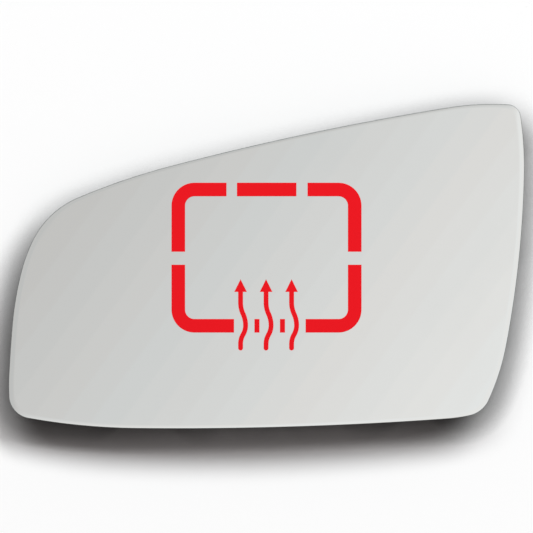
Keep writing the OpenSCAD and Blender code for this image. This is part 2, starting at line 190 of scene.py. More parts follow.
def clean_shell(mesh):
    """Merges points that coincide, drops faces that shrank to nothing, turns normals out."""
    shell = bmesh.new()
    shell.from_mesh(mesh)
    bmesh.ops.remove_doubles(shell, verts=shell.verts, dist=SAME_POINT)
    bmesh.ops.dissolve_degenerate(shell, edges=shell.edges, dist=SAME_POINT)
    bmesh.ops.recalc_face_normals(shell, faces=shell.faces)
    shell.to_mesh(mesh)
    shell.free()


def place_piece(name, mesh, materials, replaced):
    """Puts a finished mesh in the scene, smooth but for its sharp edges, as a piece that
    stands for some CAD nodes, or for none."""
    piece = bpy.data.objects.new(name, mesh)
    bpy.context.scene.collection.objects.link(piece)
    for material in materials:
        mesh.materials.append(material)
    mesh.polygons.foreach_set("use_smooth", np.ones(len(mesh.polygons), bool))
    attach(piece, "root")
    if replaced:
        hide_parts(*replaced)
    print(name + ":", len(mesh.polygons), "faces")


def joined_mesh(name, parts):
    """One mesh from several, which are deleted."""
    shell = bmesh.new()
    for part in parts:
        shell.from_mesh(part)
        bpy.data.meshes.remove(part)
    mesh = bpy.data.meshes.new(name)
    shell.to_mesh(mesh)
    shell.free()
    return mesh


# %% [markdown]
# Effects that several finishes share
#
# A finish that is one flat colour looks like a drawing. Real surfaces carry a grain from the
# mould or the rolls, and marks from handling. Each effect is a node group, built once, with
# its sizes and amounts as inputs, so that every material can place it with its own values.

# %% Helpers for nodes
def new_group(name, inputs, outputs):
    """Shader node group. Inputs and outputs map a socket's name to its default value: a
    number makes a float socket, and None makes a vector socket."""
    tree = bpy.data.node_groups.new(name, "ShaderNodeTree")
    for direction, sockets in (("INPUT", inputs), ("OUTPUT", outputs)):
        for label, value in sockets.items():
            kind = "NodeSocketVector" if value is None else "NodeSocketFloat"
            socket = tree.interface.new_socket(label, in_out=direction, socket_type=kind)
            if value is not None:
                socket.default_value = value
    enter = tree.nodes.new("NodeGroupInput")
    leave = tree.nodes.new("NodeGroupOutput")
    return tree, enter.outputs, leave.inputs


def node(tree, kind, settings=(), values=()):
    """New node of a kind, with its settings and the values of its input sockets."""
    made = tree.nodes.new(kind)
    for key, value in dict(settings).items():
        setattr(made, key, value)
    for key, value in dict(values).items():
        made.inputs[key].default_value = value
    return made


def feed(tree, source, socket):
    """Feeds an input socket from a source: a number, a colour as three numbers, or an output
    of another node."""
    if isinstance(source, (int, float)):
        socket.default_value = source
    elif isinstance(source, tuple):
        socket.default_value = (*source, 1.0)
    else:
        tree.links.new(source, socket)


# %% Nodes that work out a value or a colour
def math_node(tree, operation, *operands):
    """Math node on one or two operands."""
    made = node(tree, "ShaderNodeMath", {"operation": operation})
    for operand, socket in zip(operands, made.inputs):
        feed(tree, operand, socket)
    return made.outputs[0]


def smooth_step(tree, value, low, high):
    """Mask of a value that rises from 0 at low to 1 at high and levels off at both."""
    made = node(tree, "ShaderNodeMapRange", {"interpolation_type": "SMOOTHSTEP"})
    for source, key in ((value, "Value"), (low, "From Min"), (high, "From Max")):
        feed(tree, source, made.inputs[key])
    return made.outputs["Result"]


def mix_colours(tree, share, first, second):
    """Mix of two colours by a share from 0 to 1. A Mix node has several sockets of one name:
    those for colours are inputs 6 and 7 and output 2."""
    made = node(tree, "ShaderNodeMix", {"data_type": "RGBA"})
    for source, i in ((share, 0), (first, 6), (second, 7)):
        feed(tree, source, made.inputs[i])
    return made.outputs[2]


# %% Grain: the fine pitted texture of moulds, foam and ground glass
def build_grain():
    """Height of a grain: rounded pits from a cell pattern, roughened by fine noise.
    Height = distance to the nearest cell centre, plus Rough times noise."""
    inputs = {"Coordinates": None, "Scale": 2500.0, "Rough": 0.5}
    tree, given, result = new_group("grain", inputs, {"Height": 0.0})
    cells = node(tree, "ShaderNodeTexVoronoi", {"feature": "SMOOTH_F1"}, {"Smoothness": 0.6})
    noise = node(tree, "ShaderNodeTexNoise", (), {"Detail": 4.0, "Roughness": 0.7})
    for texture in (cells, noise):
        tree.links.new(given["Coordinates"], texture.inputs["Vector"])
        tree.links.new(given["Scale"], texture.inputs["Scale"])
    rough = math_node(tree, "MULTIPLY", noise.outputs["Fac"], given["Rough"])
    tree.links.new(math_node(tree, "ADD", cells.outputs["Distance"], rough), result["Height"])
    return tree


grain = build_grain()


# %% Handling: soft smudges
SMUDGE_FULL = 0.8


def build_handling():
    """Mask of smudges from 0 to 1: a broad, slightly warped noise counts from where it passes
    Sparse, and in full from SMUDGE_FULL."""
    inputs = {"Coordinates": None, "Scale": 30.0, "Sparse": 0.62}
    tree, given, result = new_group("handling", inputs, {"Smudge": 0.0})
    character = {"Detail": 5.0, "Roughness": 0.6, "Distortion": 0.4}
    broad = node(tree, "ShaderNodeTexNoise", (), character)
    tree.links.new(given["Coordinates"], broad.inputs["Vector"])
    tree.links.new(given["Scale"], broad.inputs["Scale"])
    smudge = smooth_step(tree, broad.outputs["Fac"], given["Sparse"], SMUDGE_FULL)
    tree.links.new(smudge, result["Smudge"])
    return tree


handling = build_handling()


# %% Rolled: the streaks that rolls leave on sheet metal
def build_rolled():
    """Streak height: noise stretched fifty times along X and Z, so that it varies across Y."""
    inputs = {"Coordinates": None, "Scale": 4000.0}
    tree, given, result = new_group("rolled", inputs, {"Streak": 0.0})
    stretch = node(tree, "ShaderNodeMapping", (), {"Scale": (0.02, 1.0, 0.02)})
    tree.links.new(given["Coordinates"], stretch.inputs["Vector"])
    noise = node(tree, "ShaderNodeTexNoise", (), {"Detail": 3.0, "Roughness": 0.6})
    tree.links.new(stretch.outputs["Vector"], noise.inputs["Vector"])
    tree.links.new(given["Scale"], noise.inputs["Scale"])
    tree.links.new(noise.outputs["Fac"], result["Streak"])
    return tree


rolled = build_rolled()


# %% Soft edges: no moulded or stamped edge is quite sharp
LEAST_LEAN = 0.01


def build_soft_edges():
    """Normal that turns smoothly over an edge within a radius, and a mask of the edges: how
    far that normal leans away from the true one, from LEAST_LEAN to Reach. The lean is 1
    minus their dot product."""
    inputs = {"Radius": 0.0002, "Reach": 0.15}
    tree, given, result = new_group("soft_edges", inputs, {"Normal": None, "Edge": 0.0})
    rounded = node(tree, "ShaderNodeBevel", {"samples": 6})
    tree.links.new(given["Radius"], rounded.inputs["Radius"])
    tree.links.new(rounded.outputs["Normal"], result["Normal"])
    true_normal = tree.nodes.new("ShaderNodeNewGeometry").outputs["Normal"]
    lean = node(tree, "ShaderNodeVectorMath", {"operation": "DOT_PRODUCT"})
    tree.links.new(rounded.outputs["Normal"], lean.inputs[0])
    tree.links.new(true_normal, lean.inputs[1])
    away = math_node(tree, "SUBTRACT", 1.0, lean.outputs["Value"])
    tree.links.new(smooth_step(tree, away, LEAST_LEAN, given["Reach"]), result["Edge"])
    return tree


soft_edges = build_soft_edges()
print("shared effects:", ", ".join(tree.name for tree in (grain, handling, rolled, soft_edges)))


# %% Helpers for materials
def new_material(name, **shader_values):
    """Material with a Principled shader and the given socket values. Returns the material,
    its node tree, the shader's inputs and an output of object coordinates."""
    material = bpy.data.materials.new(name)
    material.use_nodes = True
    tree = material.node_tree
    shader = tree.nodes["Principled BSDF"].inputs
    for key, value in shader_values.items():
        shader[key.replace("_", " ").title().replace("Ior", "IOR")].default_value = value
    place = tree.nodes.new("ShaderNodeTexCoord").outputs["Object"]
    return material, tree, shader, place


def use_group(tree, group, place=None, **values):
    """Places an effect in a material, on coordinates if it takes them, with its own values."""
    made = tree.nodes.new("ShaderNodeGroup")
    made.node_tree = group
    if place is not None:
        tree.links.new(place, made.inputs["Coordinates"])
    for key, value in values.items():
        made.inputs[key].default_value = value
    return made.outputs


def ramp(tree, mask, low, high, target):
    """Spreads a mask from 0 to 1 over low to high and feeds the result to a socket.
    Low and high are both numbers, or both colours."""
    if isinstance(low, tuple):
        tree.links.new(mix_colours(tree, mask, low, high), target)
    else:
        spread = node(tree, "ShaderNodeMapRange", (), {"To Min": low, "To Max": high})
        tree.links.new(mask, spread.inputs["Value"])
        tree.links.new(spread.outputs["Result"], target)


def bump(tree, height, depth, target, normal=None):
    """Bump from a height, with its depth in metres as the distance, on top of a normal."""
    made = node(tree, "ShaderNodeBump", (), {"Strength": 1.0, "Distance": depth})
    tree.links.new(height, made.inputs["Height"])
    if normal is not None:
        tree.links.new(normal, made.inputs["Normal"])
    tree.links.new(made.outputs["Normal"], target)


# %% [markdown]
# Finishes of the glass
#
# The face is glass with a chromium coat on its front, which reflects most of the light, with
# no colour of its own. Its sharpness is all that it shows, so faint wiping marks change its
# roughness a little and its colour hardly at all. The edge is ground with a fine wheel:
# frosted, grey-green and matt.

# %% Chromed face
def chromed_face():
    material, tree, shader, place = new_material("chromed_face", metallic=1.0)
    marks = use_group(tree, handling, place, Scale=22.0, Sparse=0.5)
    ramp(tree, marks["Smudge"], (0.800, 0.802, 0.800), (0.790, 0.792, 0.790), shader["Base Color"])
    ramp(tree, marks["Smudge"], 0.02, 0.035, shader["Roughness"])
    return material


def ground_edge():
    material, tree, shader, place = new_material("ground_edge", specular_ior_level=0.4)
    frost = use_group(tree, grain, place, Scale=9000.0, Rough=0.8)
    ramp(tree, frost["Height"], (0.088, 0.099, 0.095), (0.148, 0.166, 0.160), shader["Base Color"])
    ramp(tree, frost["Height"], 0.45, 0.65, shader["Roughness"])
    bump(tree, frost["Height"], 0.00002, shader["Normal"])
    return material


def bare_back():
    material, tree, shader, place = new_material("bare_back", ior=1.52)
    marks = use_group(tree, handling, place, Scale=40.0, Sparse=0.55)
    ramp(tree, marks["Smudge"], (0.16, 0.18, 0.175), (0.20, 0.22, 0.215), shader["Base Color"])
    ramp(tree, marks["Smudge"], 0.12, 0.3, shader["Roughness"])
    return material


glass_materials = [chromed_face(), ground_edge(), bare_back()]
print("finishes of the glass:", ", ".join(material.name for material in glass_materials))

# %% [markdown]
# The glass
#
# A convex mirror glass is a disc cut from a very large ball: 1.4 metres in radius here, so the
# middle stands up to 4 mm above the edge. The surface is one grid. Its columns are the points
# of the outline. Its rows run from the middle of the face outwards, round the ground edge,
# and back in to the middle of the back. The height is that of the ball over each point.

# %% Values of the dome
CURVE_R = 1400.0
GLASS_T = 2.0
crown_z = glass_high[2]
ball_z = crown_z - CURVE_R
FACE_ROWS = 40
EDGE_ROWS = 14
GRIND = 0.22
# Powers under 1 crowd the rows of the face towards its edge, and make the ground edge fuller.
ROW_POWER = 0.8
GRIND_POWER = 0.8


def dome(points, depth=0.0):
    """Height of the ball that lies a depth under the face, over points x and y:
    centre height plus the root of radius squared minus distance squared."""
    radius = CURVE_R - depth
    return ball_z + np.sqrt(radius ** 2 - (points ** 2).sum(axis=-1))


edge_z = dome(edge)
print("the edge lies below the middle by", round(crown_z - edge_z.max(), 2), "to",
      round(crown_z - edge_z.min(), 2), "mm")

# %% Grid of the glass
def glass_grid():
    """Rows of the face, edge and back of the glass, and the material slot of each row.
    Face rows shrink the drawn-in outline towards the middle. An edge row at angle a, from
    face (0) to back (half a turn), is drawn in by GRIND times 1 minus a power of sin(a),
    and lies at the mid-thickness surface plus half the thickness times cos(a)."""
    spread = np.linspace(0, 1, FACE_ROWS) ** ROW_POWER
    inner = ring(GRIND)
    face = spread[:, None, None] * inner
    face_z = dome(face)
    back = face[::-1]
    back_z = dome(back, GLASS_T)
    angle = np.linspace(0, np.pi, EDGE_ROWS + 2)[1:-1]
    bend = np.stack([ring(GRIND * (1 - math.sin(a) ** GRIND_POWER)) for a in angle])
    bend_z = dome(bend, GLASS_T / 2) + GLASS_T / 2 * np.cos(angle)[:, None]
    rows = np.concatenate([face, bend, back])
    heights = np.concatenate([face_z, bend_z, back_z])
    slots = np.repeat([0, 1, 2], [FACE_ROWS - 1, EDGE_ROWS + 1, FACE_ROWS - 1])
    return np.dstack([rows, heights]), slots


grid, slots = glass_grid()
glass_mesh = mesh_from_grid("mirror_glass", grid, row_slots=slots)
place_piece("mirror_glass", glass_mesh, glass_materials, ["glass"])

# %% [markdown]
# The heating sign
#
# The sign is a printed film a tenth of a millimetre thick: a rounded frame in five parts,
# three heat arrows and two dashes. Each part is a flat section carried along a path on the
# domed face, so it follows the glass. The section has a flat top and slightly rounded
# shoulders, which catch the light as the rim of real film does.

# %% Red film
def red_film():
    material, tree, shader, place = new_material("red_film", specular_ior_level=0.12)
    marks = use_group(tree, handling, place, Scale=60.0, Sparse=0.55)
    clean, smudged = (0.806, 0.0080, 0.0138), (0.786, 0.0090, 0.0152)
    ramp(tree, marks["Smudge"], clean, smudged, shader["Base Color"])
    ramp(tree, marks["Smudge"], 0.42, 0.52, shader["Roughness"])
    return material


film_materials = [red_film()]
print("finish of the sign:", film_materials[0].name)

# %% Section of the film, carried along a path
FILM_T = 0.1
SHOULDER = 0.03
SHOULDER_LIFT = 0.6
LEAST_FLAT = 0.5
FILM_SHARP_DEG = 35


def film_strip(path, half_width):
    """Grid of a strip: each row is a closed section square to the path at one point.
    A section point is the path point plus the sideways normal times its share of the half
    width; its height is the dome plus its share of the film's thickness. The flat top ends
    a shoulder short of the sides, but keeps at least LEAST_FLAT of the width."""
    path = np.asarray(path, float)
    half_width = np.broadcast_to(half_width, len(path))
    heading = np.gradient(path, axis=0)
    heading /= np.hypot(*heading.T)[:, None]
    side = np.stack([-heading[:, 1], heading[:, 0]], axis=-1)
    top = np.maximum(half_width - SHOULDER, half_width * LEAST_FLAT)
    reach = np.stack([-half_width, -half_width, -top, -top / 2, 0 * top, top / 2, top,
                      half_width, half_width, top / 2, 0 * top, -top / 2], axis=-1)
    lift = np.array([0, SHOULDER_LIFT, 1, 1, 1, 1, 1, SHOULDER_LIFT, 0, 0, 0, 0]) * FILM_T
    points = path[:, None] + side[:, None] * reach[..., None]
    return np.dstack([points, dome(points) + lift])


def film_mesh(name, strips):
    """One mesh from several strips, each closed by caps at its ends."""
    mesh = joined_mesh(name, [mesh_from_grid(name, strip, caps=True) for strip in strips])
    mesh.set_sharp_from_angle(angle=math.radians(FILM_SHARP_DEG))
    return mesh


# %% Frame of the sign
sign_low, sign_high = (np.array(corner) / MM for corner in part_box("sign_frame"))
PRINT_SHIFT = np.array([-0.2, 0.16])
PRINT_SPREAD = 0.06
sign_mid = (sign_low + sign_high)[:2] / 2 + PRINT_SHIFT
frame_w, frame_h = sign_high[0] - sign_low[0] + PRINT_SPREAD, sign_high[1] - sign_low[1]
BAR_W = 4.72
FRAME_CORNER_R = 8.0
TOP_BAR_L = 20.68
TOP_BAR_X = 0.06
TOP_GAP_LEFT, TOP_GAP_RIGHT = 3.63, 3.86
SIDE_GAP = 4.52
SIDE_GAP_Y = -0.2
BOTTOM_LEFT_X = -11.29
BOTTOM_RIGHT_X = 13.59
BEND_POINTS = 25
BAR_POINTS = 20


def corner_path(end_x, end_y, x_side, y_side):
    """Path down the middle of a bar: along a level side from end_x, a quarter turn, and
    along an upright to end_y. x_side and y_side, 1 or -1, choose the corner."""
    bend_r = FRAME_CORNER_R - BAR_W / 2
    x, y = frame_w / 2 - FRAME_CORNER_R, frame_h / 2 - FRAME_CORNER_R
    angle = np.linspace(0, np.pi / 2, BEND_POINTS)
    bend = np.stack([x + bend_r * np.sin(angle), y + bend_r * np.cos(angle)], axis=-1)
    level_x = np.linspace(end_x, x, BAR_POINTS, endpoint=False)
    level = np.stack([level_x, np.full(BAR_POINTS, y + bend_r)], axis=-1)
    upright_y = np.linspace(y, end_y, BAR_POINTS + 1)[1:]
    upright = np.stack([np.full(BAR_POINTS, x + bend_r), upright_y], axis=-1)
    return sign_mid + np.concatenate([level, bend, upright]) * [x_side, y_side]


def straight_path(start, end, count=24):
    """Evenly spaced points from start to end."""
    share = np.linspace(0, 1, count)[:, None]
    return np.asarray(start, float) * (1 - share) + np.asarray(end, float) * share


bar_left, bar_right = TOP_BAR_X - TOP_BAR_L / 2, TOP_BAR_X + TOP_BAR_L / 2
bar_y = (frame_h - BAR_W) / 2
frame_paths = [
    corner_path(TOP_GAP_LEFT - bar_left, SIDE_GAP / 2 + SIDE_GAP_Y, -1, 1),
    corner_path(TOP_GAP_RIGHT + bar_right, SIDE_GAP / 2 + SIDE_GAP_Y, 1, 1),
    corner_path(-BOTTOM_LEFT_X, SIDE_GAP / 2 - SIDE_GAP_Y, -1, -1),
    corner_path(BOTTOM_RIGHT_X, SIDE_GAP / 2 - SIDE_GAP_Y, 1, -1),
    sign_mid + straight_path([bar_left, bar_y], [bar_right, bar_y])]
frame_mesh = film_mesh("sign_frame_film", [film_strip(path, BAR_W / 2) for path in frame_paths])
place_piece("sign_frame_film", frame_mesh, film_materials, ["sign_frame"])

# %% Heat arrows
ARROW_PITCH = 8.865
ARROW_X = -0.15
ARROW_Y = -7.5
HEAD_W = 4.38
HEAD_L = 4.4
SHAFT_W = 1.68
SHAFT_UPPER_L = 3.72
SWING_OUT_L = 7.9
SWING_BACK_L = 6.45
SWING = 1.74
SHAFT_LOWER_L = 1.45
HEAD_POINTS = 16
END_POINTS = 9
# A pointed or round end starts with these shares of its full width, because a section of no
# width has no faces.
HEAD_TIP = 0.01
ROUND_TIP = 0.02


def half_swing(length, count=14):
    """Path from straight down to straight down, SWING further right, over a length: an arc
    that turns one way and a like arc that turns back. Tan of half the turn is SWING over
    the length, and the radius is the length over twice the sine of the turn."""
    turn = 2 * math.atan(SWING / length)
    radius = length / (2 * math.sin(turn))
    angle = np.linspace(0, turn, count)
    first = np.stack([radius * (1 - np.cos(angle)), -radius * np.sin(angle)], axis=-1)
    second = np.array([SWING, -length]) - first[::-1][1:]
    return np.concatenate([first, second])


def shaft_path():
    """Middle line of a shaft, from the base of its head to the tip of its round end."""
    out_y = -HEAD_L - SHAFT_UPPER_L
    out = half_swing(SWING_OUT_L) + [0, out_y]
    end_y = out_y - SWING_OUT_L - SWING_BACK_L
    back = half_swing(SWING_BACK_L)[::-1] * [1, -1] + [0, end_y]
    tail = straight_path([0, end_y], [0, end_y - SHAFT_LOWER_L], count=8)
    angle = np.linspace(0, np.pi / 2, END_POINTS)
    round_end = tail[-1] - np.outer(np.sin(angle), [0, SHAFT_W / 2])
    head_end = straight_path([0, -HEAD_L], [0, out_y], count=10)
    return np.concatenate([head_end, out[1:], back[1:], tail[1:], round_end[1:]])


def shaft_half_width(path):
    """Half the shaft's width, less in the round end: the root of radius squared minus the
    distance past the middle of that end squared."""
    radius = SHAFT_W / 2
    past = np.maximum(path[:, 1].min() + radius - path[:, 1], 0)
    return np.sqrt(np.maximum(radius ** 2 - past ** 2, (ROUND_TIP * radius) ** 2))


def head_strip(tip):
    """Triangle of a head as a strip that widens from the tip to the base."""
    share = np.linspace(HEAD_TIP, 1, HEAD_POINTS)
    path = tip + np.stack([0 * share, -HEAD_L * share], axis=-1)
    return film_strip(path, HEAD_W / 2 * share)


arrow_strips = []
for i in (-1, 0, 1):
    tip = sign_mid + [ARROW_X + i * ARROW_PITCH, ARROW_Y]
    shaft = shaft_path()
    arrow_strips += [head_strip(tip), film_strip(tip + shaft, shaft_half_width(shaft))]
arrow_mesh = film_mesh("sign_arrow_films", arrow_strips)
place_piece("sign_arrow_films", arrow_mesh, film_materials, ["sign_arrows"])

# %% Dashes between the arrows
DASH_W = 1.75
DASH_SET = 5.7
dash_strips = []
for i in (-1, 0):
    x = ARROW_X + i * ARROW_PITCH + DASH_SET
    path = sign_mid + straight_path([x, BAR_W - frame_h / 2], [x, -frame_h / 2], count=10)
    dash_strips.append(film_strip(path, DASH_W / 2))
dash_mesh = film_mesh("sign_dash_films", dash_strips)
place_piece("sign_dash_films", dash_mesh, film_materials, ["sign_dashes"])

# %% [markdown]
# Finishes of the back
#
# Everything behind the glass but the two rivets keeps its CAD shape, and gets its finish by a
# material. The carrier is black plastic from a spark-eroded mould, which leaves an even, fine
# grain. The heater film is clear amber plastic over etched foil. The blades are tinned brass.

# %% Materials of the back
def carrier_plastic():
    material, tree, shader, place = new_material("carrier_plastic", specular_ior_level=0.5)
    pits = use_group(tree, grain, place, Scale=4200.0, Rough=0.5)
    marks = use_group(tree, handling, place, Scale=28.0, Sparse=0.5)
    edges = use_group(tree, soft_edges, Radius=0.00025)
    flat = mix_colours(tree, marks["Smudge"], (0.010, 0.010, 0.011), (0.018, 0.018, 0.019))
    worn = mix_colours(tree, edges["Edge"], flat, (0.045, 0.045, 0.047))
    tree.links.new(worn, shader["Base Color"])
    ramp(tree, pits["Height"], 0.36, 0.56, shader["Roughness"])
    bump(tree, pits["Height"], 0.00002, shader["Normal"], edges["Normal"])
    return material


def foam_tape():
    material, tree, shader, place = new_material("foam_tape", specular_ior_level=0.3)
    pores = use_group(tree, grain, place, Scale=3500.0, Rough=1.0)
    ramp(tree, pores["Height"], (0.018, 0.018, 0.019), (0.05, 0.05, 0.053), shader["Base Color"])
    ramp(tree, pores["Height"], 0.7, 0.95, shader["Roughness"])
    bump(tree, pores["Height"], 0.00006, shader["Normal"])
    return material


def etched_foil():
    material, tree, shader, place = new_material("etched_foil", metallic=1.0)
    streaks = use_group(tree, rolled, place, Scale=3000.0)
    ramp(tree, streaks["Streak"], (0.52, 0.33, 0.15), (0.62, 0.41, 0.20), shader["Base Color"])
    ramp(tree, streaks["Streak"], 0.3, 0.5, shader["Roughness"])
    return material


def amber_film():
    """Clear amber plastic: half of what is behind it, the foil, shows through."""
    material, tree, shader, place = new_material(
        "amber_film", alpha=0.5, coat_weight=0.4, coat_roughness=0.1)
    marks = use_group(tree, handling, place, Scale=90.0, Sparse=0.5)
    ramp(tree, marks["Smudge"], (0.34, 0.15, 0.03), (0.40, 0.19, 0.045), shader["Base Color"])
    ramp(tree, marks["Smudge"], 0.18, 0.34, shader["Roughness"])
    return material


def tinned_brass():
    material, tree, shader, place = new_material("tinned_brass", metallic=1.0)
    streaks = use_group(tree, rolled, place, Scale=5000.0)
    marks = use_group(tree, handling, place, Scale=240.0, Sparse=0.5)
    edges = use_group(tree, soft_edges, Radius=0.0001)
    ramp(tree, marks["Smudge"], (0.66, 0.60, 0.45), (0.55, 0.47, 0.30), shader["Base Color"])
    ramp(tree, streaks["Streak"], 0.22, 0.42, shader["Roughness"])
    bump(tree, streaks["Streak"], 0.00001, shader["Normal"], edges["Normal"])
    return material


def nickel_plate():
    material, tree, shader, place = new_material("nickel_plate", metallic=1.0)
    marks = use_group(tree, handling, place, Scale=400.0, Sparse=0.45)
    ramp(tree, marks["Smudge"], (0.58, 0.56, 0.52), (0.48, 0.46, 0.42), shader["Base Color"])
    ramp(tree, marks["Smudge"], 0.2, 0.4, shader["Roughness"])
    return material


# %% Dress the CAD nodes
brass, black_plastic = tinned_brass(), carrier_plastic()
finishes = {
    "carrier_plate": black_plastic, "bonding_tape": foam_tape(),
    "heater_foil": etched_foil(), "heater_film": amber_film(),
    "upper_terminal": brass, "lower_terminal": brass}
for name, material in finishes.items():
    cad[name].data.materials.clear()
    cad[name].data.materials.append(material)
print("dressed CAD nodes:", ", ".join(finishes))

# %% [markdown]
# Rivets
#
# Flat metal parts are joined to film with tubular rivets. Setting one rolls the end of its
# tube outwards, so its head is a smooth ring round a hole. A cylinder primitive would have a
# flat head, so each rivet is a profile of radius and height, turned round an axis that
# stands square to the film.

# %% Rolled rivet heads
RIVET_L = 1.65
SHANK_R = 1.2
HEAD_R = 2.1
HEAD_T = 0.6
RIM_T = 0.2
HOLE_R = 0.75
HOLE_DEPTH = 0.45
HOLE_ROWS = 9
ROLL_ROWS = 17
RIVET_SIDES = 48
RIVET_SHARP_DEG = 50


def rivet_profile():
    """Radius and height of a rivet, from the bottom of its hole to the end of its shank.
    The hole is a quarter of an ellipse: its radius goes with the sine of an angle and its
    depth with the cosine. The rolled ring is half an ellipse: radius with the cosine and
    height with the sine."""
    quarter = np.linspace(0, np.pi / 2, HOLE_ROWS)
    hole = np.stack([HOLE_R * np.sin(quarter), RIM_T - HOLE_DEPTH * np.cos(quarter)])
    half = np.linspace(np.pi, 0, ROLL_ROWS)
    roll = np.stack([(HEAD_R + HOLE_R) / 2 + (HEAD_R - HOLE_R) / 2 * np.cos(half),
                     RIM_T + (HEAD_T - RIM_T) * np.sin(half)])
    end = HEAD_T - RIVET_L
    under = np.array([[HEAD_R, SHANK_R, SHANK_R, 0], [0, 0, end, end]])
    return np.concatenate([hole, roll[:, 1:], under], axis=1)


def rivet_grid(node_name):
    """Grid of a rivet: its radius times a circle across the axis, plus its height along the
    axis. The axis leads from the middle of the CAD rivet to the centre of the ball."""
    middle = sum(np.array(corner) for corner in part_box(node_name)) / 2 / MM
    axis = np.array([0, 0, ball_z]) - middle
    axis /= np.linalg.norm(axis)
    across = np.cross(axis, [0, 1, 0])
    across /= np.linalg.norm(across)
    turn = unit(np.arange(RIVET_SIDES) * 360 / RIVET_SIDES)
    circle = turn[:, :1] * across + turn[:, 1:] * np.cross(axis, across)
    radius, height = rivet_profile()[:, :, None, None]
    return middle + axis * (RIVET_L / 2 - HEAD_T) + radius * circle + height * axis


rivet_material = nickel_plate()
for side in ("upper", "lower"):
    rivet_mesh = mesh_from_grid(side + "_eyelet", rivet_grid(side + "_rivet"))
    rivet_mesh.set_sharp_from_angle(angle=math.radians(RIVET_SHARP_DEG))
    place_piece(side + "_eyelet", rivet_mesh, [rivet_material], [side + "_rivet"])

# %% [markdown]
# Marks of the mould
#
# Pins push the carrier out of its mould, and each leaves a low round pad with a fine ridge
# round it. A bump texture could draw them, but then the mesh would lack them. Each is a
# profile of radius and height, carried round a circle on the curved back of the plate.

# %% Where the pins stand
RING_MIDDLE = np.array([5.0, -5.0])
# Radius of each circle of pins, and the direction of its first pin.
PIN_CIRCLES = ((32, 0), (45.75, 22.5), (63, 0), (78, 22.5))
CIRCLE_PINS = 8
PIN_R = 2.0
RIM_ROOM = 6.2
WINDOW_ROOM = 10.5


def inside_outline(points, room):
    """True where a point is inside the outline with room to spare: it lies to the left of
    every step along the outline, as the cross product of the step and the way to the point
    tells, and no point of the outline is nearer than that."""
    step = np.roll(edge, -1, axis=0) - edge
    way = points[:, None] - edge
    left = step[:, 0] * way[..., 1] - step[:, 1] * way[..., 0] >= 0
    return left.all(axis=1) & (np.linalg.norm(way, axis=2).min(axis=1) >= room)


def pin_places():
    """CIRCLE_PINS pins on each of several circles round the clip ring, midway between two
    ribs. Those outside the rim or in the terminal window are left out."""
    turn = np.arange(CIRCLE_PINS) * 360 / CIRCLE_PINS
    places = np.concatenate([
        RING_MIDDLE + radius * unit(first + turn) for radius, first in PIN_CIRCLES])
    window_low = np.array(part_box("lower_terminal")[0])[:2] / MM - WINDOW_ROOM
    window_high = np.array(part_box("upper_terminal")[1])[:2] / MM + WINDOW_ROOM
    in_window = ((places > window_low) & (places < window_high)).all(axis=1)
    return places[inside_outline(places, RIM_ROOM) & ~in_window]


pins = pin_places()
print("ejector pins:", len(pins))

# %% Low pads of the pins
# The back of the plate lies this far under the face of the glass.
PLATE_DEPTH = 5.15
PAD_T = 0.12
RIDGE_T = 0.3
RIDGE_FOOT = 0.06
PAD_SIDES = 40
PAD_SHARP_DEG = 60


def pad_grid(centre):
    """Grid of a pad: rows from the middle of its sunk foot out to the ridge, and back over
    the ridge to the middle of the pad, each at a share of the pin's radius. Height is that
    of the plate less the row's height, because the back of the plate faces down."""
    radius = np.array([0, 1.06, 1.06, 1.0, 0.94, 0.9, 0.45, 0]) * PIN_R
    inner_foot = PAD_T + RIDGE_FOOT
    height = np.array([-PAD_T, -PAD_T, PAD_T, RIDGE_T, inner_foot, PAD_T, PAD_T, PAD_T])
    around = unit(np.arange(PAD_SIDES) * 360 / PAD_SIDES)
    points = centre + radius[:, None, None] * around
    return np.dstack([points, dome(points, PLATE_DEPTH) - height[:, None]])


pads_mesh = joined_mesh("ejector_pads", [mesh_from_grid("pad", pad_grid(pin)) for pin in pins])
pads_mesh.set_sharp_from_angle(angle=math.radians(PAD_SHARP_DEG))
place_piece("ejector_pads", pads_mesh, [black_plastic], [])

# %% [markdown]
# Camera
#
# The photograph looks straight down on the glass, from some way off. Measured in it, the
# glass spans so many pixels about such a middle. A point at height z appears at its place
# over its distance below the camera, so the span of those ratios gives the lens.

# %% Camera over the glass
FRAME_PX = 533
GLASS_PX = 515.6
GLASS_MID_PX = np.array([266.53, 266.32])
CAMERA_HEIGHT = 1.0
below = CAMERA_HEIGHT / MM - dome(edge, GLASS_T / 2)
sight = edge / below[:, None]
sight_low, sight_high = sight.min(axis=0), sight.max(axis=0)
px_per_sight = GLASS_PX / (sight_high - sight_low)[0]
off_px = (FRAME_PX / 2 - GLASS_MID_PX) * [1, -1]
middle = (sight_low + sight_high) / 2 + off_px / px_per_sight
camera_data = bpy.data.cameras.new("camera")
camera_data.sensor_width = 36.0
camera_data.lens = camera_data.sensor_width * px_per_sight / FRAME_PX
camera_data.clip_start = 0.01
camera = bpy.data.objects.new("camera", camera_data)
camera.location = (*(middle * (CAMERA_HEIGHT - crown_z * MM)), CAMERA_HEIGHT)
bpy.context.scene.collection.objects.link(camera)
bpy.context.scene.camera = camera
print("lens:", round(camera_data.lens, 1), "mm, glass height in pixels:",
      round((sight_high - sight_low)[1] * px_per_sight, 1))

# %% [markdown]
# Floor and light
#
# The photograph has a white ground and one soft shadow that falls downwards and a little to
# the left. Two wide lamps, tilted back from straight above, cast part of that shadow: their
# tilt sets how far the shadow moves down, their size how soft it is, and the share of each
# how far it leans to the side. The rest is painted shade: the floor's colour darkens close
# beside the object. The lamps are hidden from the mirror, which would show them as discs.

# %% White floor with painted contact shade
FLOOR_WHITE = 0.975
# Reach and power of the shade painted into the floor's colour, and the side where it is slight.
PAINTED_SHADE_REACH = 0.0133
PAINTED_SHADE_POWER = 4.53
OPEN_SIDE = (0.18, 1.2, 1.0)


